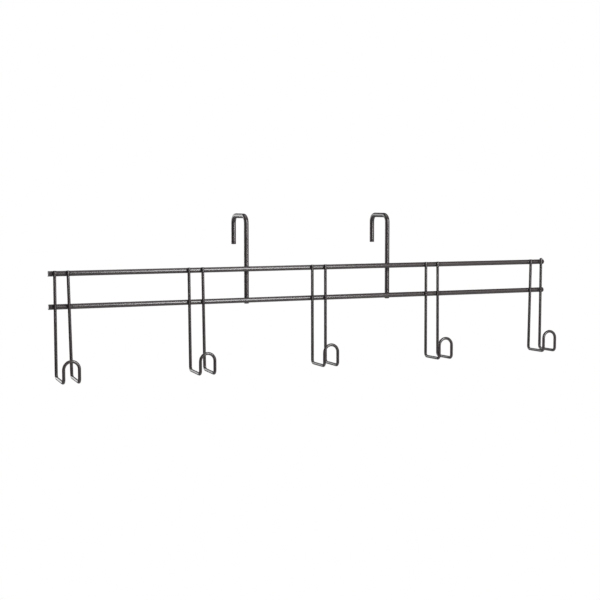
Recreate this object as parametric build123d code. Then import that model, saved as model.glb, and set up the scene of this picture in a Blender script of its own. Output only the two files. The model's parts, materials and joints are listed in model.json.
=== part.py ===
from build123d import *
import os
from dataclasses import dataclass
from math import cos, radians, sin

# Wire hook rack: two rails, five double hooks welded across their front and two hangers welded across
# their back. All sizes are in millimetres. X runs along the rails, -Y faces the room and +Z is up.
# The origin is where the rack meets the board it hangs on: the middle of the board's front top edge.

# Rails
rail_diameter = 6.4
rail_spacing = 39.0
rail_overhang = 15.0
rod_end_chamfer = 0.4

# Hooks, each bent from one wire
hook_count = 5
hook_pitch = 166.5
hook_wire_diameter = 3.7
hook_leg_spacing = 18.5
hook_drop = 122.0
hook_reach = 35.5
hook_rise = 25.7
hook_bend_radius = 4.4
hook_leg_above_rail = 0.5
wire_end_chamfer = 0.3

# Hangers, each bent from one rod
hanger_diameter = 6.0
hanger_spacing = 200.0
hanger_offset = 4.4
hanger_height = 65.8
board_gap = 37.0
hanger_back_leg = 36.4
hanger_bend_radius = 9.0
hanger_below_rail = 1.5

# Welds: how far a wire is pressed into the rail, and the bead of metal that this squeezes out
hook_weld_depth = 0.5
hook_bead_radius = 2.6
hook_bead_thickness = 2.0
hanger_weld_depth = 0.6
hanger_bead_radius = 3.6
hanger_bead_thickness = 2.6
end_bead_radius = 4.6
end_bead_thickness = 4.4
bead_edge_share = 0.45


@dataclass(frozen=True)
class HandSet:
    """How far one hook was bent or welded away from the nominal shape."""

    pinch: float = 0.0
    sway: float = 0.0
    droop: float = 0.0
    lift: float = 0.0
    tall: float = 0.0
    short_leg: float = 0.0


# Left to right. pinch draws the legs' tops together, sway moves the bends along +X, droop tips the arms
# down in degrees, lift raises the whole hook, tall lengthens its upturned front and short_leg trims its
# left leg.
hand_sets = (
    HandSet(pinch=2.7, sway=1.6, droop=3.6, tall=-0.6),
    HandSet(pinch=0.6, sway=1.6, droop=2.2, tall=-0.6),
    HandSet(sway=0.4, droop=0.2, tall=0.7),
    HandSet(pinch=0.6, sway=0.8, droop=-1.0, tall=0.5),
    HandSet(pinch=1.5, sway=-1.2, droop=-1.1, lift=1.6, tall=0.9, short_leg=1.6),
)

rail_radius = rail_diameter / 2
hook_radius = hook_wire_diameter / 2
hanger_radius = hanger_diameter / 2

rail_length = (hook_count - 1) * hook_pitch + 2 * rail_overhang
hanger_y = -hanger_radius
rail_y = hanger_y - hanger_radius - rail_radius + hanger_weld_depth
hook_y = rail_y - rail_radius - hook_radius + hook_weld_depth
hanger_top_z = hanger_radius
upper_rail_z = hanger_top_z - hanger_height
lower_rail_z = upper_rail_z - rail_spacing


def rail(height):
    """A straight round rod along X, with its cut ends broken."""
    rod = Plane.YZ * Cylinder(rail_radius, rail_length)
    rod = chamfer(rod.edges().filter_by(GeomType.CIRCLE), rod_end_chamfer)
    return Pos(0, rail_y, height) * rod


def bent_wire(path, radius, end_chamfer):
    """A round wire swept along a path, with its two cut ends broken."""
    section = Plane(origin=path @ 0, z_dir=path % 0) * Circle(radius)
    wire = sweep(section, path=path)
    ends = wire.faces().filter_by(GeomType.PLANE).edges()
    return chamfer(ends, end_chamfer)


def weld_bead(x, y, z, radius, thickness):
    """A rounded button of squeezed metal, flat to the rails' plane."""
    button = Plane.XZ * Cylinder(radius, thickness)
    button = fillet(button.edges().filter_by(GeomType.CIRCLE), bead_edge_share * thickness)
    return Pos(x, y, z) * button


def hook_side(middle, hand_set, side):
    """Corner points of one half of a hook, from the top of its leg to the foot of its arch."""
    half_top = side * (hook_leg_spacing - hand_set.pinch) / 2
    half_bend = side * hook_leg_spacing / 2 + hand_set.sway
    trim = hand_set.short_leg if side < 0 else 0
    arm_z = upper_rail_z - hook_drop + hand_set.lift
    angle = radians(hand_set.droop)
    leg_top = Vector(
        middle + half_top,
        hook_y,
        upper_rail_z + rail_radius + hook_leg_above_rail + hand_set.lift - trim,
    )
    back_bend = Vector(middle + half_bend, hook_y, arm_z)
    front_bend = back_bend + Vector(0, -hook_reach * cos(angle), -hook_reach * sin(angle))
    arch_foot = front_bend + Vector(0, 0, hook_rise + hand_set.tall - hook_leg_spacing / 2)
    return leg_top, back_bend, front_bend, arch_foot


def hook_path(middle, hand_set):
    """Down one leg, out along its arm, up, over the arch and back the same way."""
    left = hook_side(middle, hand_set, -1)
    right = hook_side(middle, hand_set, 1)
    arch_top = (left[-1] + right[-1]) / 2 + Vector(0, 0, hook_leg_spacing / 2)
    down = FilletPolyline(*left, radius=hook_bend_radius)
    over = ThreePointArc(left[-1], arch_top, right[-1])
    back = FilletPolyline(*reversed(right), radius=hook_bend_radius)
    return Wire(down.edges() + over.edges() + back.edges())


def leg_x(side_points, height):
    """Where a leg, which may lean, crosses a given height."""
    leg_top, back_bend = side_points[:2]
    share = (leg_top.Z - height) / (leg_top.Z - back_bend.Z)
    return leg_top.X + share * (back_bend.X - leg_top.X)


def hook(index, rails):
    """One double hook, notched and beaded where its two legs cross the two rails."""
    middle = (index - (hook_count - 1) / 2) * hook_pitch
    hand_set = hand_sets[index % len(hand_sets)]
    solid = bent_wire(hook_path(middle, hand_set), hook_radius, wire_end_chamfer)
    for side in (-1, 1):
        points = hook_side(middle, hand_set, side)
        at_rail_end = side > 0 and index == hook_count - 1
        radius = end_bead_radius if at_rail_end else hook_bead_radius
        thickness = end_bead_thickness if at_rail_end else hook_bead_thickness
        for height in (upper_rail_z, lower_rail_z):
            solid += weld_bead(leg_x(points, height), rail_y - rail_radius, height, radius, thickness)
    for rod in rails:
        solid -= rod
    return solid


def hanger(x, rails):
    """A rod that stands behind both rails, bends back over the board and drops down behind it."""
    back_y = board_gap + hanger_radius
    path = FilletPolyline(
        (x, hanger_y, lower_rail_z - rail_radius - hanger_below_rail),
        (x, hanger_y, hanger_top_z),
        (x, back_y, hanger_top_z),
        (x, back_y, hanger_top_z - hanger_back_leg),
        radius=hanger_bend_radius,
    )
    solid = bent_wire(path, hanger_radius, rod_end_chamfer)
    for rod in rails:
        height = rod.center().Z
        solid += weld_bead(x, rail_y + rail_radius, height, hanger_bead_radius, hanger_bead_thickness)
        solid -= rod
    return solid


def build():
    """Every piece of the rack by name."""
    rails = {"upper_rail": rail(upper_rail_z), "lower_rail": rail(lower_rail_z)}
    rods = tuple(rails.values())
    hangers = {
        "left_hanger": hanger(hanger_offset - hanger_spacing / 2, rods),
        "right_hanger": hanger(hanger_offset + hanger_spacing / 2, rods),
    }
    hooks = {f"hook_{index + 1}": hook(index, rods) for index in range(hook_count)}
    return rails | hangers | hooks


os.makedirs("parts", exist_ok=True)
for name, piece in build().items():
    export_step(piece, f"parts/{name}.step")
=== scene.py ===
"""The wire hook rack as it leaves the coating line: bent wires, welded crossings and a satin powder coat.

Lengths are in metres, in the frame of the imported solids: X runs along the rails, -Y faces the room and
+Z is up. The origin is the middle of the front top edge of the board that the rack hangs on.
"""

import json
import logging
import math
from collections.abc import Sequence
from dataclasses import dataclass
from enum import Enum
from typing import Any

import bpy
from mathutils import Euler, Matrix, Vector


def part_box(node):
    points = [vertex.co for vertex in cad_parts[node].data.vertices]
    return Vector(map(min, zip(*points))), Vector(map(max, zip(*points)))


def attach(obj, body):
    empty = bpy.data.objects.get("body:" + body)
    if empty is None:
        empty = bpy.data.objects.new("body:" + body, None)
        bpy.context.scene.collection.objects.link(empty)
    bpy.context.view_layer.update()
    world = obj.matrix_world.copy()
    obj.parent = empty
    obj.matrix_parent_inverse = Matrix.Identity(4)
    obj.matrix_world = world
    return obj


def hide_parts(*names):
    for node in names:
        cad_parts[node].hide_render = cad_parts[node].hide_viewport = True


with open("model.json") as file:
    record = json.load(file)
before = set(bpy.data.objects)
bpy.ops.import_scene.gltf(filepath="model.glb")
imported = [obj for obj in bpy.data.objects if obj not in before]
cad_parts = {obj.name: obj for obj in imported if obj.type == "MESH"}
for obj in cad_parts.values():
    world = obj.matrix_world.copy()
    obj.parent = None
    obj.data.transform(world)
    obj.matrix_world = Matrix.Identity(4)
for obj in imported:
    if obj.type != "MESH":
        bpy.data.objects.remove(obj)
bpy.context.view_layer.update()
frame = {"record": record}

MM = 0.001
BODY = "root"
BEND_ATTRIBUTE = "bend_radius"
THICKNESS_ATTRIBUTE = "thickness"
LUMP_ATTRIBUTE = "at_rail_end"
WELD_ATTRIBUTE = "weld_nearness"
MERGE_DISTANCE = 0.002 * MM
SHARP_ANGLE = math.radians(38.0)
HALVINGS = 48
WHITE = (1.0, 1.0, 1.0, 1.0)

log = logging.getLogger("wire_hook_rack")


class RailSide(Enum):
    """The side of the rails that a wire is welded to, as its direction along Y."""

    FRONT = -1
    BACK = 1


class NodeMaker:
    """Fills a node tree, one node at a time."""

    def __init__(self, tree: bpy.types.NodeTree) -> None:
        """Take the node tree to fill."""
        self.tree = tree

    def node(self, kind: str, inputs: dict[Any, Any] | None = None, **settings: Any) -> bpy.types.Node:
        """Add a node.

        Args:
            kind: The node's type name.
            inputs: A value, or an output to link from, for each input by its name or number.
            **settings: Properties of the node itself.

        Returns:
            The new node.
        """
        made = self.tree.nodes.new(kind)
        for name, value in settings.items():
            setattr(made, name, value)
        for key, value in (inputs or {}).items():
            if isinstance(value, bpy.types.NodeSocket):
                self.tree.links.new(value, made.inputs[key])
            else:
                made.inputs[key].default_value = value
        return made

    def math(self, operation: str, *values: Any) -> bpy.types.NodeSocket:
        """Add a math node with these values, or outputs that they come from, and give its result."""
        return self.node("ShaderNodeMath", dict(enumerate(values)), operation=operation).outputs[0]


class GeometryTree(NodeMaker):
    """A geometry node tree with named inputs, which ends in realized geometry of one finish."""

    def __init__(self, name: str, sockets: dict[str, str]) -> None:
        """Start the tree with its inputs and its output.

        Args:
            name: The tree's name.
            sockets: The socket type of each named input, besides the geometry and the finish.
        """
        super().__init__(bpy.data.node_groups.new(name, "GeometryNodeTree"))
        interface = self.tree.interface
        interface.new_socket("Geometry", in_out="INPUT", socket_type="NodeSocketGeometry")
        for label, socket_type in sockets.items():
            interface.new_socket(label, in_out="INPUT", socket_type=socket_type)
        interface.new_socket("Finish", in_out="INPUT", socket_type="NodeSocketMaterial")
        interface.new_socket("Geometry", in_out="OUTPUT", socket_type="NodeSocketGeometry")
        self.given = self.tree.nodes.new("NodeGroupInput").outputs

    def attribute(self, name: str) -> bpy.types.NodeSocket:
        """Add a node that reads a named number of each point."""
        reader = self.node("GeometryNodeInputNamedAttribute", {"Name": name}, data_type="FLOAT")
        return reader.outputs["Attribute"]

    def shape_of(self, label: str) -> bpy.types.NodeSocket:
        """Add a node that gives the geometry of the object in a named input."""
        reader = self.node("GeometryNodeObjectInfo", {"Object": self.given[label]})
        return reader.outputs["Geometry"]

    def both(self, first: bpy.types.NodeSocket, second: bpy.types.NodeSocket) -> bpy.types.NodeSocket:
        """Add a node that joins two geometries."""
        joined = self.node("GeometryNodeJoinGeometry", {0: first})
        self.tree.links.new(second, joined.inputs[0])
        return joined.outputs[0]

    def end(self, geometry: bpy.types.NodeSocket) -> None:
        """Realize the result and give it the finish.

        Args:
            geometry: The tree's result so far.
        """
        real = self.node("GeometryNodeRealizeInstances", {"Geometry": geometry})
        dressed = self.node(
            "GeometryNodeSetMaterial",
            {"Geometry": real.outputs[0], "Material": self.given["Finish"]},
        )
        self.node("NodeGroupOutput", {"Geometry": dressed.outputs[0]})

    def apply(self, carrier: bpy.types.Object, values: dict[str, Any]) -> None:
        """Run the tree on an object and leave the result as that object's own plain mesh.

        Args:
            carrier: The object that holds the guide geometry.
            values: The value of each named input.
        """
        modifier = carrier.modifiers.new(self.tree.name, "NODES")
        modifier.node_group = self.tree
        for item in self.tree.interface.items_tree:
            if item.in_out == "INPUT" and item.name in values:
                modifier[item.identifier] = values[item.name]
        evaluated = carrier.evaluated_get(bpy.context.evaluated_depsgraph_get())
        result = bpy.data.meshes.new_from_object(evaluated)
        carrier.modifiers.clear()
        carrier.data = result


def new_object(name: str, mesh: bpy.types.Mesh) -> bpy.types.Object:
    """Put a mesh into the scene at the origin.

    Args:
        name: The object's name.
        mesh: Its mesh.

    Returns:
        The new object.
    """
    made = bpy.data.objects.new(name, mesh)
    bpy.context.scene.collection.objects.link(made)
    return made


def remove(*helpers: bpy.types.Object) -> None:
    """Take helper objects out once they have done their work."""
    for helper in helpers:
        bpy.data.objects.remove(helper)


def point_numbers(mesh: bpy.types.Mesh, name: str, values: Sequence[float]) -> None:
    """Store one number for each point of a mesh, under a name."""
    mesh.attributes.new(name, "FLOAT", "POINT").data.foreach_set("value", list(values))


@dataclass(frozen=True)
class PowderCoat:
    """Satin powder coat: a dark baked skin with a faint orange peel, which pools round the welds and is
    darkened there with painted shade.

    Args:
        name: The material's name.
        colour: The coat's colour.
        thin_colour: Its colour where it went on thinner.
        weld_shade_colour: Its darker colour round the welds, painted shade where wire meets rail.
        roughness: Its least roughness.
        roughness_spread: What the fleck adds to that at most.
        pooled_gloss: How much smoother it is where it pooled.
        peel_size: The width of the orange peel's dimples.
        peel_height: Their depth.
        peel_detail: Their finer layers of noise.
        fleck_size: The width of the powder's grains.
        fleck_height: Their height.
        fleck_detail: Their finer layers of noise.
        drift_size: The length over which the coat's thickness drifts.
        drift_detail: The drift's finer layers of noise.
        drift_range: The noise values between which it goes from full to thin.
    """

    name: str = "satin_powder_coat"
    colour: tuple[float, float, float] = (0.0360, 0.0295, 0.0306)
    thin_colour: tuple[float, float, float] = (0.0485, 0.0395, 0.0403)
    # Painted shade: a darker colour round the welds, where wire meets rail.
    weld_shade_colour: tuple[float, float, float] = (0.0255, 0.0205, 0.0218)
    roughness: float = 0.19
    roughness_spread: float = 0.05
    pooled_gloss: float = 0.06
    peel_size: float = 1.1 * MM
    peel_height: float = 0.004 * MM
    peel_detail: float = 1.0
    fleck_size: float = 0.35 * MM
    fleck_height: float = 0.001 * MM
    fleck_detail: float = 2.0
    drift_size: float = 45.0 * MM
    drift_detail: float = 3.0
    drift_range: tuple[float, float] = (0.35, 0.65)

    def texture(self) -> bpy.types.NodeTree:
        """Build the shader group for the coat's relief and slow drift in thickness.

        Returns:
            A group with sizes as inputs, and with Height, Drift and Fleck as outputs.
        """
        maker = NodeMaker(bpy.data.node_groups.new("coat_texture", "ShaderNodeTree"))
        interface = maker.tree.interface
        interface.new_socket("Position", in_out="INPUT", socket_type="NodeSocketVector")
        for label in ("Peel Size", "Fleck Size", "Drift Size", "Peel Height", "Fleck Height"):
            interface.new_socket(label, in_out="INPUT", socket_type="NodeSocketFloat")
        for label in ("Height", "Drift", "Fleck"):
            interface.new_socket(label, in_out="OUTPUT", socket_type="NodeSocketFloat")
        given = maker.tree.nodes.new("NodeGroupInput").outputs
        details = {"Peel": self.peel_detail, "Fleck": self.fleck_detail, "Drift": self.drift_detail}
        noises = {}
        for label, detail in details.items():
            scale = maker.math("DIVIDE", 1.0, given[f"{label} Size"])
            inputs = {"Vector": given["Position"], "Scale": scale, "Detail": detail}
            noises[label] = maker.node("ShaderNodeTexNoise", inputs).outputs["Fac"]
        relief = maker.math("MULTIPLY", noises["Peel"], given["Peel Height"])
        height = maker.math("MULTIPLY_ADD", noises["Fleck"], given["Fleck Height"], relief)
        maker.node(
            "NodeGroupOutput", {"Height": height, "Drift": noises["Drift"], "Fleck": noises["Fleck"]}
        )
        return maker.tree

    def material(self) -> bpy.types.Material:
        """Build the coat.

        Returns:
            The finished material.
        """
        made = bpy.data.materials.new(self.name)
        made.use_nodes = True
        made.node_tree.nodes.clear()
        maker = NodeMaker(made.node_tree)
        sizes = {
            "Position": maker.node("ShaderNodeTexCoord").outputs["Object"],
            "Peel Size": self.peel_size,
            "Fleck Size": self.fleck_size,
            "Drift Size": self.drift_size,
            "Peel Height": self.peel_height,
            "Fleck Height": self.fleck_height,
        }
        group = maker.node("ShaderNodeGroup", sizes, node_tree=self.texture())
        # Nearness to the weld metal: it darkens the colour as painted shade and makes the pooled coat
        # smoother.
        weld_shade_and_pool = maker.node("ShaderNodeAttribute", attribute_name=WELD_ATTRIBUTE).outputs["Fac"]
        drift = maker.node(
            "ShaderNodeMapRange",
            {
                "Value": group.outputs["Drift"],
                "From Min": self.drift_range[0],
                "From Max": self.drift_range[1],
            },
        ).outputs["Result"]
        open_colour = self._blend(maker, drift, self.colour, self.thin_colour)
        # Painted shade: the colour darkens near the weld metal.
        colour = self._blend(maker, weld_shade_and_pool, open_colour, self.weld_shade_colour)
        satin = maker.math("MULTIPLY_ADD", group.outputs["Fleck"], self.roughness_spread, self.roughness)
        roughness = maker.math("MULTIPLY_ADD", weld_shade_and_pool, -self.pooled_gloss, satin)
        bump = maker.node("ShaderNodeBump", {"Distance": 1.0, "Height": group.outputs["Height"]})
        shader = maker.node(
            "ShaderNodeBsdfPrincipled",
            {"Base Color": colour, "Roughness": roughness, "Normal": bump.outputs["Normal"]},
        )
        maker.node("ShaderNodeOutputMaterial", {"Surface": shader.outputs["BSDF"]})
        return made

    @staticmethod
    def _blend(
        maker: NodeMaker, share: bpy.types.NodeSocket, first: Any, second: Any
    ) -> bpy.types.NodeSocket:
        """Mix two colours.

        Args:
            maker: The tree that the mix goes into.
            share: How much of the second colour shows.
            first: A colour or an output.
            second: A colour or an output.

        Returns:
            The mixed colour.
        """
        mix = maker.node("ShaderNodeMix", data_type="RGBA")
        sockets = {item.identifier: item for item in mix.inputs}
        maker.tree.links.new(share, sockets["Factor_Float"])
        for key, value in (("A_Color", first), ("B_Color", second)):
            if isinstance(value, bpy.types.NodeSocket):
                maker.tree.links.new(value, sockets[key])
            else:
                sockets[key].default_value = (*value, 1.0)
        return next(item for item in mix.outputs if item.identifier == "Result_Color")


@dataclass(frozen=True)
class WirePath:
    """A wire's line: the corners of its bends, with the radius that each is bent to.

    Args:
        corners: The two ends and the corners between them.
        bends: The bend radius at each corner, 0 at the ends.
        wire_radius: The wire's radius.
        end_rounding: The radius that the cut ends are broken to.
        end_rings: How many steps that rounding takes.
    """

    corners: Sequence[Vector]
    bends: Sequence[float]
    wire_radius: float
    end_rounding: float
    end_rings: int = 5

    def _end(self, tip: Vector, inner: Vector) -> list[tuple[Vector, float]]:
        """Give the rings of a rounded end, from its tip inwards.

        Args:
            tip: The end of the wire.
            inner: The next corner.

        Returns:
            Each ring's place and its share of the wire's thickness.
        """
        along = (inner - tip).normalized()
        rings = []
        for step in range(self.end_rings + 1):
            turn = step / self.end_rings * math.pi / 2
            depth = self.end_rounding * (1 - math.cos(turn))
            cut_back = self.end_rounding * (1 - math.sin(turn))
            rings.append((tip + along * depth, 1 - cut_back / self.wire_radius))
        return rings

    def guide(self, name: str) -> bpy.types.Mesh:
        """Build the line as a mesh of edges.

        Args:
            name: The mesh's name.

        Returns:
            The mesh, with the bend radius and the thickness of each point.
        """
        first = self._end(self.corners[0], self.corners[1])
        last = self._end(self.corners[-1], self.corners[-2])[::-1]
        middle = [(corner, 1.0) for corner in self.corners[1:-1]]
        rows = first + middle + last
        bends = [0.0] * len(first) + list(self.bends[1:-1]) + [0.0] * len(last)
        mesh = bpy.data.meshes.new(name)
        edges = [(index, index + 1) for index in range(len(rows) - 1)]
        mesh.from_pydata([place for place, _ in rows], edges, [])
        point_numbers(mesh, BEND_ATTRIBUTE, bends)
        point_numbers(mesh, THICKNESS_ATTRIBUTE, [thickness for _, thickness in rows])
        return mesh


@dataclass(frozen=True)
class WeldNeck:
    """Weld metal round a crossing: the concave neck that a ball rolled between wire and rail would leave.

    Args:
        rail_radius: The rail's radius.
        wire_radius: The crossing wire's radius.
        weld_depth: How far the two are pressed into each other.
        ball_radius: The mean radius of the neck.
        unevenness: How much that radius swells and shrinks round the crossing, as a share.
        second_swell: The share of that unevenness that comes round twice.
        swell_turn: Where the neck is fullest, as an angle.
        stations: How many sections it has round the crossing.
        arc_steps: How many steps its open arc takes.
        sink: How far its hidden edges lie inside the wire and the rail.
    """

    rail_radius: float
    wire_radius: float
    weld_depth: float
    ball_radius: float
    unevenness: float = 0.16
    second_swell: float = 0.5
    swell_turn: float = 0.6
    stations: int = 56
    arc_steps: int = 7
    sink: float = 0.3 * MM

    @property
    def axis_gap(self) -> float:
        """The distance between the two axes."""
        return self.rail_radius + self.wire_radius - self.weld_depth

    def _heights(self, ball: float, reach: float, turn: float) -> tuple[float, float]:
        """Give the ball's distance from each axis along Y.

        Args:
            ball: The ball's radius.
            reach: How far the ball's centre lies from the crossing.
            turn: In which direction it lies.

        Returns:
            Its distance from the rail's axis and from the wire's, along Y.
        """
        across, up = reach * math.cos(turn), reach * math.sin(turn)
        from_rail = math.sqrt(max((self.rail_radius + ball) ** 2 - up**2, 0.0))
        from_wire = math.sqrt(max((self.wire_radius + ball) ** 2 - across**2, 0.0))
        return from_rail, from_wire

    def _ball_centre(self, ball: float, turn: float) -> Vector:
        """Find where a ball touches both wire and rail.

        Args:
            ball: The ball's radius.
            turn: The direction from the crossing, as an angle.

        Returns:
            The ball's centre, with the rail's axis at Y = 0 and the wire on the +Y side.
        """
        near, far = 0.0, self.rail_radius + self.wire_radius + 2 * ball
        for _ in range(HALVINGS):
            middle = (near + far) / 2
            if sum(self._heights(ball, middle, turn)) > self.axis_gap:
                near = middle
            else:
                far = middle
        return Vector((near * math.cos(turn), self._heights(ball, near, turn)[0], near * math.sin(turn)))

    def section(self, turn: float) -> list[Vector]:
        """Give the neck's section in one direction from the crossing.

        Args:
            turn: The direction, as an angle.

        Returns:
            The section's points: the open arc from rail to wire, then the sunk edges.
        """
        lean = math.cos(turn - self.swell_turn) + self.second_swell * math.cos(2 * turn + self.swell_turn)
        ball = self.ball_radius * (1 + self.unevenness * lean)
        centre = self._ball_centre(ball, turn)
        to_rail = Vector((0, -centre.y, -centre.z)).normalized()
        to_wire = Vector((-centre.x, self.axis_gap - centre.y, 0)).normalized()
        opening = to_rail.angle(to_wire)
        arc = []
        for step in range(self.arc_steps + 1):
            share = step / self.arc_steps
            from_rail = math.sin((1 - share) * opening) / math.sin(opening)
            from_wire = math.sin(share * opening) / math.sin(opening)
            arc.append(centre + (to_rail * from_rail + to_wire * from_wire) * ball)
        in_wire = arc[-1] + to_wire * self.sink
        in_rail = arc[0] + to_rail * self.sink
        root = (in_wire + in_rail) / 2 + (to_wire + to_rail).normalized() * self.sink
        return [*arc, in_wire, root, in_rail]

    def mesh(self, name: str, side: RailSide) -> bpy.types.Mesh:
        """Build the neck as a closed ring round the crossing.

        Args:
            name: The mesh's name.
            side: The side of the rail that the wire lies on.

        Returns:
            The mesh, with the rail's axis through the origin.
        """
        points = []
        for station in range(self.stations):
            points += self.section(2 * math.pi * station / self.stations)
        faces = []
        count = len(points) // self.stations
        for station in range(self.stations):
            here, there = station * count, (station + 1) % self.stations * count
            for index in range(count):
                after = (index + 1) % count
                faces.append((here + index, here + after, there + after, there + index))
        if side is RailSide.FRONT:
            points = [Vector((point.x, -point.y, point.z)) for point in points]
            faces = [face[::-1] for face in faces]
        made = bpy.data.meshes.new(name)
        made.from_pydata(points, [], faces)
        return made


@dataclass(frozen=True)
class WeldLump:
    """The larger lump of weld metal where the last hook's outer leg crosses a rail's end.

    Args:
        reach: How far the lump reaches from the crossing, along its four blunt corners.
        thickness: Its size along Y.
        flat_share: How far its four sides are pulled in between the corners, as a share.
        crown: How full its crowned front and back are: 1 is a round ball, and less is fuller.
        run: How far it ran from the crossing towards the rail's end.
        segments: How many points each of its rings has.
        rings: How many steps it takes from front to back.
    """

    reach: float = 4.6 * MM
    thickness: float = 4.4 * MM
    flat_share: float = 0.2
    crown: float = 0.8
    run: float = 1.0 * MM
    segments: int = 48
    rings: int = 20

    def mesh(self, name: str) -> bpy.types.Mesh:
        """Build the lump as a closed blunt diamond, crowned front and back.

        Args:
            name: The mesh's name.

        Returns:
            The mesh, with the crossing at the origin.
        """
        points = [Vector((self.run, -self.thickness / 2, 0))]
        for ring in range(1, self.rings):
            tilt = math.pi * ring / self.rings
            depth = -self.thickness / 2 * math.cos(tilt)
            for segment in range(self.segments):
                turn = 2 * math.pi * segment / self.segments
                reach = self.reach * math.sin(tilt) ** self.crown
                reach *= 1 - self.flat_share * math.sin(2 * turn) ** 2
                points.append(Vector((self.run + reach * math.cos(turn), depth, reach * math.sin(turn))))
        points.append(Vector((self.run, self.thickness / 2, 0)))
        faces: list[tuple[int, ...]] = []
        last = len(points) - 1
        for segment in range(self.segments):
            after = (segment + 1) % self.segments
            faces.append((0, 1 + after, 1 + segment))
            for ring in range(self.rings - 2):
                here = 1 + ring * self.segments
                there = here + self.segments
                faces.append((here + segment, here + after, there + after, there + segment))
            back = last - self.segments
            faces.append((last, back + segment, back + after))
        made = bpy.data.meshes.new(name)
        made.from_pydata(points, [], faces)
        made.flip_normals()
        return made


class WireTree(GeometryTree):
    """Bends a round wire along its guide line, joins its weld metal and notches it over the rails."""

    def __init__(self) -> None:
        """Build the tree."""
        super().__init__(
            "bent_wire",
            {
                "Wire Radius": "NodeSocketFloat",
                "Sides": "NodeSocketInt",
                "Bend Steps": "NodeSocketInt",
                "Longest Step": "NodeSocketFloat",
                "Welded": "NodeSocketBool",
                "Weld Metal": "NodeSocketObject",
                "Rails": "NodeSocketObject",
            },
        )
        wire = self._wire()
        union = self.node(
            "GeometryNodeMeshBoolean", {"Mesh 2": wire}, operation="UNION", solver="MANIFOLD"
        )
        self.tree.links.new(self.shape_of("Weld Metal"), union.inputs["Mesh 2"])
        notched = self.node(
            "GeometryNodeMeshBoolean",
            {"Mesh 1": union.outputs["Mesh"], "Mesh 2": self.shape_of("Rails")},
            operation="DIFFERENCE",
            solver="MANIFOLD",
        )
        chosen = self.node(
            "GeometryNodeSwitch",
            {"Switch": self.given["Welded"], "False": wire, "True": notched.outputs["Mesh"]},
            input_type="GEOMETRY",
        )
        self.end(chosen.outputs[0])

    def _wire(self) -> bpy.types.NodeSocket:
        """Sweep the round wire along the filleted line, with short steps on its straight runs.

        Returns:
            The closed wire, before any weld.
        """
        line = self.node("GeometryNodeMeshToCurve", {"Mesh": self.given["Geometry"]})
        bent = self.node(
            "GeometryNodeFilletCurve",
            {
                "Curve": line.outputs[0],
                "Count": self.given["Bend Steps"],
                "Radius": self.attribute(BEND_ATTRIBUTE),
                "Limit Radius": True,
            },
            mode="POLY",
        )
        place = self.node("GeometryNodeInputPosition").outputs[0]
        after = self.math("ADD", self.node("GeometryNodeInputIndex").outputs[0], 1.0)
        next_place = self.node(
            "GeometryNodeFieldAtIndex", {"Index": after, "Value": place}, data_type="FLOAT_VECTOR"
        )
        step = self.node(
            "ShaderNodeVectorMath", {0: place, 1: next_place.outputs[0]}, operation="DISTANCE"
        )
        cuts = self.math("DIVIDE", step.outputs["Value"], self.given["Longest Step"])
        stepped = self.node("GeometryNodeSubdivideCurve", {"Curve": bent.outputs[0], "Cuts": cuts})
        section = self.node(
            "GeometryNodeCurvePrimitiveCircle",
            {"Resolution": self.given["Sides"], "Radius": self.given["Wire Radius"]},
        )
        swept = self.node(
            "GeometryNodeCurveToMesh",
            {
                "Curve": stepped.outputs[0],
                "Profile Curve": section.outputs[0],
                "Scale": self.attribute(THICKNESS_ATTRIBUTE),
                "Fill Caps": True,
            },
        )
        merged = self.node(
            "GeometryNodeMergeByDistance", {"Geometry": swept.outputs[0], "Distance": MERGE_DISTANCE}
        )
        return merged.outputs[0]


class HaloTree(GeometryTree):
    """Stores how near each point of a piece lies to weld metal, where the coat pools and is darkened with
    painted shade.
    """

    def __init__(self) -> None:
        """Build the tree."""
        super().__init__(
            "weld_halo", {"Weld Metal": "NodeSocketObject", "Weld Halo": "NodeSocketFloat"}
        )
        near = self.node("GeometryNodeProximity", {"Target": self.shape_of("Weld Metal")})
        share = self.node(
            "ShaderNodeMapRange",
            {
                "Value": near.outputs["Distance"],
                "From Min": 0.0,
                "From Max": self.given["Weld Halo"],
                "To Min": 1.0,
                "To Max": 0.0,
            },
        )
        stored = self.node(
            "GeometryNodeStoreNamedAttribute",
            {
                "Geometry": self.given["Geometry"],
                "Name": WELD_ATTRIBUTE,
                "Value": share.outputs["Result"],
            },
        )
        self.end(stored.outputs[0])


class JoinTree(GeometryTree):
    """Adds another object's mesh to what the carrier already holds."""

    def __init__(self) -> None:
        """Build the tree."""
        super().__init__("join", {"Added": "NodeSocketObject"})
        self.end(self.both(self.given["Geometry"], self.shape_of("Added")))


class WeldTree(GeometryTree):
    """Sets a neck on every crossing, turned one way or the other, and a lump where one is marked."""

    def __init__(self) -> None:
        """Build the tree."""
        shape, number = "NodeSocketObject", "NodeSocketInt"
        super().__init__("weld_metal", {"Neck": shape, "Lump": shape, "Seed": number})
        half_turns = self.node("FunctionNodeRandomValue", data_type="INT")
        sockets = {item.identifier: item for item in half_turns.inputs}
        sockets["Min_002"].default_value = 0
        sockets["Max_002"].default_value = 1
        self.tree.links.new(self.given["Seed"], sockets["Seed"])
        drawn = next(item for item in half_turns.outputs if item.identifier == "Value_002")
        turn = self.math("MULTIPLY", drawn, math.pi)
        about_y = self.node("ShaderNodeCombineXYZ", {"Y": turn})
        necks = self.node(
            "GeometryNodeInstanceOnPoints",
            {
                "Points": self.given["Geometry"],
                "Instance": self.shape_of("Neck"),
                "Rotation": about_y.outputs[0],
            },
        )
        lumps = self.node(
            "GeometryNodeInstanceOnPoints",
            {
                "Points": self.given["Geometry"],
                "Selection": self.attribute(LUMP_ATTRIBUTE),
                "Instance": self.shape_of("Lump"),
            },
        )
        self.end(self.both(necks.outputs[0], lumps.outputs[0]))


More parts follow.
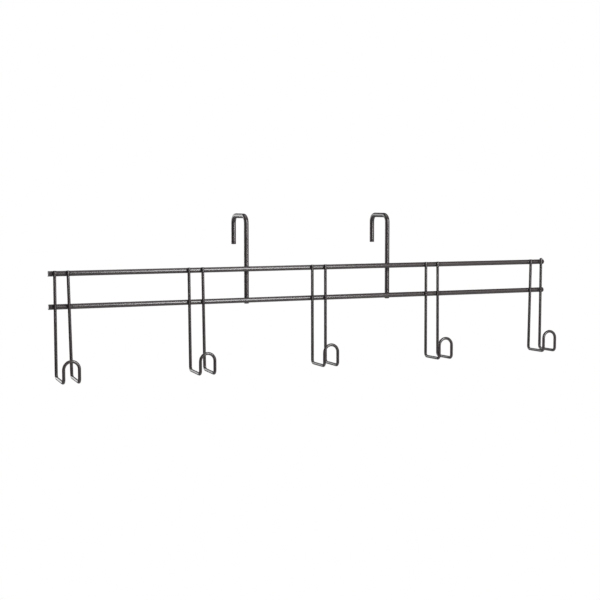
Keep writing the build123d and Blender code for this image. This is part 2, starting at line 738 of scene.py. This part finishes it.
@dataclass
class Workshop:
    """What every piece is made with: the trees and the finish.

    Args:
        wire_tree: The tree that bends a wire.
        weld_tree: The tree that sets the weld metal.
        halo_tree: The tree that finds where the coat pools and is darkened with painted shade.
        join_tree: The tree that joins meshes.
        coat: The finish.
        bend_steps: How many steps each bend takes.
        longest_step: The longest step along a straight run.
        weld_halo: How far from the weld metal the coat still pools and is darkened with painted shade.
    """

    wire_tree: WireTree
    weld_tree: WeldTree
    halo_tree: HaloTree
    join_tree: JoinTree
    coat: bpy.types.Material
    bend_steps: int = 14
    longest_step: float = 5.0 * MM
    weld_halo: float = 3.5 * MM

    def bend(
        self,
        name: str,
        path: WirePath,
        sides: int,
        weld_metal: bpy.types.Object | None = None,
        rails: bpy.types.Object | None = None,
    ) -> bpy.types.Object:
        """Make a wire, and weld it where it is given weld metal and rails.

        Args:
            name: The piece's name.
            path: Its line.
            sides: How many flats its round section has.
            weld_metal: Its own weld metal, where it is welded.
            rails: The rails that notch it, where it is welded across them.

        Returns:
            The finished mesh object.
        """
        piece = new_object(name, path.guide(name))
        self.wire_tree.apply(
            piece,
            {
                "Wire Radius": path.wire_radius,
                "Sides": sides,
                "Bend Steps": self.bend_steps,
                "Longest Step": self.longest_step,
                "Welded": rails is not None,
                "Weld Metal": weld_metal,
                "Rails": rails,
                "Finish": self.coat,
            },
        )
        return piece

    def join(self, name: str, shapes: Sequence[bpy.types.Object]) -> bpy.types.Object:
        """Join several meshes into one helper.

        Args:
            name: The helper's name.
            shapes: The objects to join.

        Returns:
            The helper object.
        """
        helper = new_object(name, bpy.data.meshes.new(name))
        for shape in shapes:
            self.join_tree.apply(helper, {"Added": shape, "Finish": self.coat})
        return helper

    def coat_piece(self, piece: bpy.types.Object, weld_metal: bpy.types.Object) -> None:
        """Find where a piece's coat pools and is darkened with painted shade, and smooth its surface
        between its sharp edges.

        Args:
            piece: The piece.
            weld_metal: All the weld metal of the rack.
        """
        self.halo_tree.apply(
            piece, {"Weld Metal": weld_metal, "Weld Halo": self.weld_halo, "Finish": self.coat}
        )
        piece.data.shade_smooth()
        piece.data.set_sharp_from_angle(angle=SHARP_ANGLE)

    def weld_metal(
        self, name: str, crossings: Sequence[tuple[Vector, bool]], neck: WeldNeck, side: RailSide, seed: int
    ) -> bpy.types.Object:
        """Make the weld metal of one piece.

        Args:
            name: The helper's name.
            crossings: Each crossing's place on its rail's axis, and whether it has the larger lump.
            neck: The neck round each crossing.
            side: The side of the rails that it lies on.
            seed: What the turns are drawn from.

        Returns:
            A helper object with the metal's mesh.
        """
        points = bpy.data.meshes.new(name)
        points.from_pydata([place for place, _ in crossings], [], [])
        point_numbers(points, LUMP_ATTRIBUTE, [float(at_end) for _, at_end in crossings])
        carrier = new_object(name, points)
        neck_shape = new_object(f"{name}_neck", neck.mesh(f"{name}_neck", side))
        lump = WeldLump().mesh(f"{name}_lump")
        for vertex in lump.vertices:
            vertex.co.y += side.value * neck.rail_radius
        lump_shape = new_object(f"{name}_lump", lump)
        self.weld_tree.apply(
            carrier, {"Neck": neck_shape, "Lump": lump_shape, "Seed": seed, "Finish": self.coat}
        )
        remove(neck_shape, lump_shape)
        return carrier


def coated(node: str) -> str:
    """Name the piece that stands for a solid."""
    return f"coated_{node}"


def hand_over(piece: bpy.types.Object, node: str) -> None:
    """Let a piece stand for its solid, ride on the rack and take the coat's slot.

    Args:
        piece: The finished piece.
        node: The name of the solid that it stands for.
    """
    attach(piece, BODY)
    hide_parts(node)
    low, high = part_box(node)
    corners = [vertex.co for vertex in piece.data.vertices]
    beyond = max(
        max(low[axis] - corner[axis], corner[axis] - high[axis])
        for corner in corners
        for axis in range(3)
    )
    log.info(
        "%s: %d faces, %.2f mm past its solid", piece.name, len(piece.data.polygons), beyond / MM
    )


class Assembly:
    """Pieces that are made together and then coated and handed over, by the names of their solids."""

    pieces: dict[str, bpy.types.Object]

    def dress(self, workshop: Workshop, weld_metal: bpy.types.Object) -> None:
        """Coat every piece and hand it over.

        Args:
            workshop: What the pieces are coated with.
            weld_metal: All the weld metal of the rack.
        """
        for node, piece in self.pieces.items():
            workshop.coat_piece(piece, weld_metal)
            hand_over(piece, node)


@dataclass
class Rails(Assembly):
    """The two straight rods that carry the hooks, seated where their solids are.

    Args:
        names: The names of their solids, the upper first.
        end_rounding: The radius that their cut ends are broken to.
        sides: How many flats their round section has.
    """

    names: tuple[str, str] = ("upper_rail", "lower_rail")
    end_rounding: float = 0.5 * MM
    sides: int = 48

    def __post_init__(self) -> None:
        """Take the rods' size and places from their solids."""
        boxes = [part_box(name) for name in self.names]
        low, high = boxes[0]
        self.radius = (high.z - low.z) / 2
        self.length = high.x - low.x
        self.centres = [(low + high) / 2 for low, high in boxes]

    def build(self, workshop: Workshop) -> bpy.types.Object:
        """Make both rods as one helper that the other pieces are notched with.

        Args:
            workshop: What the rods are made with.

        Returns:
            The helper object.
        """
        self.pieces = {}
        for name, centre in zip(self.names, self.centres, strict=True):
            half = Vector((self.length / 2, 0, 0))
            path = WirePath((centre - half, centre + half), (0.0, 0.0), self.radius, self.end_rounding)
            self.pieces[name] = workshop.bend(coated(name), path, self.sides)
        return workshop.join("rail_tool", list(self.pieces.values()))


class WeldedWires(Assembly):
    """Wires that cross both rails and are welded to them. Each kind of wire sets these.

    Args:
        rails: The rails.
        names: The names of their solids, from the left.
        rail_side: The side of the rails that they lie on.
        wire_radius: The wire's radius.
        weld_depth: How far wire and rail are pressed into each other.
        neck_radius: The mean radius of the weld metal's neck.
        end_rounding: The radius that the cut ends are broken to.
        sides: How many flats the wire's section has.
    """

    rails: Rails
    names: tuple[str, ...]
    rail_side: RailSide
    wire_radius: float
    weld_depth: float
    neck_radius: float
    end_rounding: float
    sides: int

    def path(self, index: int) -> WirePath:
        """Give the line of the wire of this number."""
        raise NotImplementedError

    def crossings(self, index: int) -> list[tuple[Vector, bool]]:
        """Give the crossings of the wire of this number, and whether each lies at the rail's end."""
        raise NotImplementedError

    def build(self, workshop: Workshop, rail_tool: bpy.types.Object) -> list[bpy.types.Object]:
        """Make the wires.

        Args:
            workshop: What they are made with.
            rail_tool: Both rails, which notch them.

        Returns:
            The helpers that hold their weld metal.
        """
        neck = WeldNeck(self.rails.radius, self.wire_radius, self.weld_depth, self.neck_radius)
        self.pieces = {}
        metals = []
        for index, name in enumerate(self.names):
            crossings = self.crossings(index)
            metal = workshop.weld_metal(f"{name}_welds", crossings, neck, self.rail_side, seed=index)
            path = self.path(index)
            self.pieces[name] = workshop.bend(coated(name), path, self.sides, metal, rail_tool)
            metals.append(metal)
        return metals


@dataclass(frozen=True)
class HandSet:
    """How far one hook was bent or welded away from the nominal shape.

    Args:
        pinch: How far the legs' tops are drawn together.
        sway: How far its bends lie to the right.
        droop: How far its arms tip down, in degrees.
        lift: How far the whole hook is raised.
        tall: How much longer its upturned front is.
        short_leg: How much its left leg was cut short.
    """

    pinch: float = 0.0
    sway: float = 0.0
    droop: float = 0.0
    lift: float = 0.0
    tall: float = 0.0
    short_leg: float = 0.0


@dataclass
class Hooks(WeldedWires):
    """Five double hooks, each bent from one wire and welded across the front of both rails.

    Args:
        pitch: The distance from hook to hook.
        leg_spacing: The distance between the axes of the two legs.
        drop: How far the arms lie below the upper rail's axis.
        reach: How long the arms are.
        rise: How far the front rises above the arms.
        bend_radius: The radius of the four corner bends.
        leg_above_rail: How far the legs stand above the upper rail.
        hand_sets: How each hook differs, from the left.
    """

    rails: Rails
    pitch: float = 166.5 * MM
    wire_radius: float = 1.85 * MM
    leg_spacing: float = 18.5 * MM
    drop: float = 122.0 * MM
    reach: float = 35.5 * MM
    rise: float = 25.7 * MM
    bend_radius: float = 4.4 * MM
    leg_above_rail: float = 0.5 * MM
    weld_depth: float = 0.5 * MM
    neck_radius: float = 0.8 * MM
    end_rounding: float = 0.4 * MM
    sides: int = 32
    rail_side: RailSide = RailSide.FRONT
    hand_sets: tuple[HandSet, ...] = (
        HandSet(pinch=2.7 * MM, sway=1.6 * MM, droop=3.6, tall=-0.6 * MM),
        HandSet(pinch=0.6 * MM, sway=1.6 * MM, droop=2.2, tall=-0.6 * MM),
        HandSet(sway=0.4 * MM, droop=0.2, tall=0.7 * MM),
        HandSet(pinch=0.6 * MM, sway=0.8 * MM, droop=-1.0, tall=0.5 * MM),
        HandSet(
            pinch=1.5 * MM,
            sway=-1.2 * MM,
            droop=-1.1,
            lift=1.6 * MM,
            tall=0.9 * MM,
            short_leg=1.6 * MM,
        ),
    )

    def __post_init__(self) -> None:
        """Number the hooks from the left."""
        self.names = tuple(f"hook_{index + 1}" for index in range(len(self.hand_sets)))

    @property
    def plane_y(self) -> float:
        """The Y of the legs' axes."""
        return self.rails.centres[0].y - self.rails.radius - self.wire_radius + self.weld_depth

    def middle(self, index: int) -> float:
        """The X of a hook's nominal middle."""
        return (index - (len(self.hand_sets) - 1) / 2) * self.pitch

    def side(self, index: int, sign: int) -> list[Vector]:
        """Give one half of a hook.

        Args:
            index: The hook's number from the left.
            sign: -1 for its left half and 1 for its right.

        Returns:
            The leg's top, the back bend, the front bend and the arch's corner.
        """
        hand = self.hand_sets[index]
        upper_z = self.rails.centres[0].z
        trim = hand.short_leg if sign < 0 else 0.0
        half_top = sign * (self.leg_spacing - hand.pinch) / 2
        half_bend = sign * self.leg_spacing / 2 + hand.sway
        top_z = upper_z + self.rails.radius + self.leg_above_rail + hand.lift - trim
        leg_top = Vector((self.middle(index) + half_top, self.plane_y, top_z))
        back_bend = Vector((self.middle(index) + half_bend, self.plane_y, upper_z - self.drop + hand.lift))
        droop = math.radians(hand.droop)
        front_bend = back_bend + Vector((0, -self.reach * math.cos(droop), -self.reach * math.sin(droop)))
        return [leg_top, back_bend, front_bend, front_bend + Vector((0, 0, self.rise + hand.tall))]

    def path(self, index: int) -> WirePath:
        """Give a hook's line.

        Args:
            index: The hook's number from the left.

        Returns:
            The line down one leg, out, up, over the arch and back the same way.
        """
        half_bends = [0.0, self.bend_radius, self.bend_radius, self.leg_spacing / 2]
        return WirePath(
            self.side(index, -1) + self.side(index, 1)[::-1],
            half_bends + half_bends[::-1],
            self.wire_radius,
            self.end_rounding,
        )

    def crossings(self, index: int) -> list[tuple[Vector, bool]]:
        """Give a hook's four crossings.

        Args:
            index: The hook's number from the left.

        Returns:
            Each crossing's place on its rail's axis, and whether it lies at the rail's end.
        """
        found = []
        for sign in (-1, 1):
            leg_top, back_bend = self.side(index, sign)[:2]
            at_end = sign > 0 and index == len(self.hand_sets) - 1
            for centre in self.rails.centres:
                share = (leg_top.z - centre.z) / (leg_top.z - back_bend.z)
                across = leg_top.x + share * (back_bend.x - leg_top.x)
                found.append((Vector((across, centre.y, centre.z)), at_end))
        return found


@dataclass
class Hangers(WeldedWires):
    """Two rods that stand behind both rails and hook back over the board.

    Args:
        back_legs: The names of the mounts on their back legs.
        bend_radius: The radius of their two bends.
        below_rail: How far the front legs reach below the lower rail.
        end_chamfer: How much of a back leg's end the record's pin leaves out.
    """

    rails: Rails
    names: tuple[str, str] = ("left_hanger", "right_hanger")
    back_legs: tuple[str, str] = ("left_back_leg", "right_back_leg")
    bend_radius: float = 9.0 * MM
    weld_depth: float = 0.6 * MM
    neck_radius: float = 1.2 * MM
    below_rail: float = 1.5 * MM
    end_chamfer: float = 0.4 * MM
    end_rounding: float = 0.5 * MM
    sides: int = 44
    rail_side: RailSide = RailSide.BACK

    def __post_init__(self) -> None:
        """Take the back legs, which are pins, from the record."""
        mounts = {mount["name"]: mount for mount in frame["record"]["mounts"]}
        self.pins = {
            node: mounts[leg] for node, leg in zip(self.names, self.back_legs, strict=True)
        }
        self.wire_radius = self.pins[self.names[0]]["dims"]["r_mm"] * MM

    def path(self, index: int) -> WirePath:
        """Give a hanger's line, from the box of its solid.

        Args:
            index: The hanger's number from the left.

        Returns:
            The line up the front leg, over the board and down behind it.
        """
        node = self.names[index]
        low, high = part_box(node)
        across = (low.x + high.x) / 2
        front_y = self.rails.centres[0].y + self.rails.radius + self.wire_radius - self.weld_depth
        back_y, top_z = high.y - self.wire_radius, high.z - self.wire_radius
        pin = self.pins[node]
        back_end = pin["pos_m"][2] - pin["dims"]["length_mm"] / 2 * MM - self.end_chamfer
        front_end = self.rails.centres[1].z - self.rails.radius - self.below_rail
        corners = [
            Vector((across, front_y, front_end)),
            Vector((across, front_y, top_z)),
            Vector((across, back_y, top_z)),
            Vector((across, back_y, back_end)),
        ]
        bends = (0.0, self.bend_radius, self.bend_radius, 0.0)
        return WirePath(corners, bends, self.wire_radius, self.end_rounding)

    def crossings(self, index: int) -> list[tuple[Vector, bool]]:
        """Give a hanger's two crossings.

        Args:
            index: The hanger's number from the left.

        Returns:
            Each crossing's place on its rail's axis, none of them at the rail's end.
        """
        across = self.path(index).corners[0].x
        return [(Vector((across, centre.y, centre.z)), False) for centre in self.rails.centres]


@dataclass(frozen=True)
class SoftBox:
    """A rectangular softbox.

    Args:
        name: The lamp's name.
        place: Where it stands.
        target: What it points at.
        width: Its width.
        height: Its height.
        power: Its power in watts.
    """

    name: str
    place: tuple[float, float, float]
    target: tuple[float, float, float]
    width: float
    height: float
    power: float

    def build(self) -> None:
        """Put the softbox into the scene, out of the camera's sight."""
        lamp = bpy.data.lights.new(self.name, "AREA")
        lamp.shape = "RECTANGLE"
        lamp.size, lamp.size_y, lamp.energy = self.width, self.height, self.power
        holder = bpy.data.objects.new(self.name, lamp)
        holder.location = self.place
        direction = Vector(self.target) - Vector(self.place)
        holder.rotation_euler = direction.to_track_quat("-Z", "Y").to_euler()
        holder.visible_camera = False
        bpy.context.scene.collection.objects.link(holder)


@dataclass
class Studio:
    """A pale floor, a white backdrop, four softboxes and the camera.

    Args:
        floor_z: The floor's height.
        floor_radius: The floor's radius.
        floor_sides: How many corners its edge has.
        floor_colour: Its colour under the rack.
        shadow_reach: How far from its middle the floor keeps its own colour.
        fade_reach: How far from its middle it has faded into the backdrop.
        fill_level: The strength of the even fill light.
        gloss_share: How white the backdrop is to gloss.
        camera_place: Where the camera stands.
        camera_yaw: How far it is turned to the right of straight ahead, in degrees.
        camera_pitch: How far it looks down, in degrees.
        lens: Its focal length in millimetres.
        sensor: Its sensor's width in millimetres.
        softboxes: The lamps.
    """

    floor_z: float = -1.0
    floor_radius: float = 6.0
    floor_sides: int = 96
    floor_colour: tuple[float, float, float] = (0.72, 0.72, 0.72)
    shadow_reach: float = 0.75
    fade_reach: float = 1.35
    fill_level: float = 0.2
    gloss_share: float = 0.05
    camera_place: tuple[float, float, float] = (-0.6940, -1.46999, 0.02481)
    camera_yaw: float = 24.619
    camera_pitch: float = 4.585
    lens: float = 75.94
    sensor: float = 36.0
    softboxes: tuple[SoftBox, ...] = (
        SoftBox("key", (0.47, -1.47, 0.44), (0.0, 0.0, 0.2), 0.54, 1.24, 29.0),
        SoftBox("front", (1.2, -1.7, 0.5), (0.0, 0.0, -0.05), 2.4, 1.2, 11.0),
        SoftBox("top", (0.0, 0.0, 1.5), (0.0, 0.0, 0.0), 1.6, 1.2, 10.0),
        SoftBox("back", (-1.1, 1.9, 0.3), (0.0, 0.0, -0.05), 1.3, 1.4, 20.0),
    )

    def _shown_white(self, maker: NodeMaker) -> bpy.types.NodeSocket:
        """Add how white the backdrop is to a ray: wholly to the camera and through glass, less in gloss.

        Args:
            maker: The tree that it goes into.

        Returns:
            The whiteness, from 0 to 1.
        """
        path = maker.node("ShaderNodeLightPath").outputs
        seen = maker.math("MAXIMUM", path["Is Camera Ray"], path["Is Transmission Ray"])
        in_gloss = maker.math("MULTIPLY", path["Is Glossy Ray"], self.gloss_share)
        return maker.math("MAXIMUM", seen, in_gloss)

    def build_world(self) -> None:
        """Make the even fill light, which the camera and gloss see as a white backdrop."""
        world = bpy.data.worlds.new("backdrop")
        world.use_nodes = True
        world.node_tree.nodes.clear()
        maker = NodeMaker(world.node_tree)
        seen = self._shown_white(maker)
        diffuse = maker.node("ShaderNodeLightPath").outputs["Is Diffuse Ray"]
        fill = maker.math("MULTIPLY", diffuse, self.fill_level)
        strength = maker.math("MAXIMUM", seen, fill)
        white = maker.node("ShaderNodeBackground", {"Color": WHITE, "Strength": strength})
        maker.node("ShaderNodeOutputWorld", {"Surface": white.outputs[0]})
        bpy.context.scene.world = world

    def build_floor(self) -> None:
        """Make the floor: pale and shadowed under the rack, fading into the backdrop further out."""
        bpy.ops.mesh.primitive_circle_add(
            vertices=self.floor_sides,
            radius=self.floor_radius,
            fill_type="NGON",
            location=(0, 0, self.floor_z),
        )
        floor = bpy.context.object
        floor.name = "floor"
        material = bpy.data.materials.new("pale_floor")
        material.use_nodes = True
        material.node_tree.nodes.clear()
        maker = NodeMaker(material.node_tree)
        place = maker.node("ShaderNodeTexCoord").outputs["Object"]
        distance = maker.node("ShaderNodeVectorMath", {0: place}, operation="LENGTH").outputs["Value"]
        fade = maker.node(
            "ShaderNodeMapRange",
            {"Value": distance, "From Min": self.shadow_reach, "From Max": self.fade_reach},
            interpolation_type="SMOOTHSTEP",
        ).outputs["Result"]
        share = maker.math("MULTIPLY", fade, self._shown_white(maker))
        pale = maker.node("ShaderNodeBsdfDiffuse", {"Color": (*self.floor_colour, 1)}).outputs[0]
        white = maker.node("ShaderNodeEmission", {"Color": WHITE, "Strength": 1.0}).outputs[0]
        mix = maker.node("ShaderNodeMixShader", {0: share, 1: pale, 2: white})
        maker.node("ShaderNodeOutputMaterial", {"Surface": mix.outputs[0]})
        floor.data.materials.append(material)

    def build_camera(self) -> None:
        """Set up the camera at the photograph's viewing angle."""
        lens = bpy.data.cameras.new("camera")
        lens.lens, lens.sensor_width = self.lens, self.sensor
        camera = bpy.data.objects.new("camera", lens)
        camera.location = self.camera_place
        tilt = math.radians(90.0 - self.camera_pitch)
        camera.rotation_euler = Euler((tilt, 0.0, -math.radians(self.camera_yaw)))
        bpy.context.scene.collection.objects.link(camera)
        bpy.context.scene.camera = camera

    def build(self) -> None:
        """Set up the whole studio."""
        self.build_world()
        self.build_floor()
        for softbox in self.softboxes:
            softbox.build()
        self.build_camera()
        bpy.context.scene.view_settings.view_transform = "Standard"


def main() -> None:
    """Build the rack, dress it and set up the studio."""
    logging.basicConfig(level=logging.INFO, format="%(name)s: %(message)s")
    workshop = Workshop(WireTree(), WeldTree(), HaloTree(), JoinTree(), PowderCoat().material())
    rails = Rails()
    rail_tool = rails.build(workshop)
    hooks, hangers = Hooks(rails), Hangers(rails)
    metals = hooks.build(workshop, rail_tool) + hangers.build(workshop, rail_tool)
    weld_metal = workshop.join("weld_metal", metals)
    for assembly in (rails, hooks, hangers):
        assembly.dress(workshop, weld_metal)
    remove(rail_tool, weld_metal, *metals)
    Studio().build()


if __name__ == "__main__":
    main()
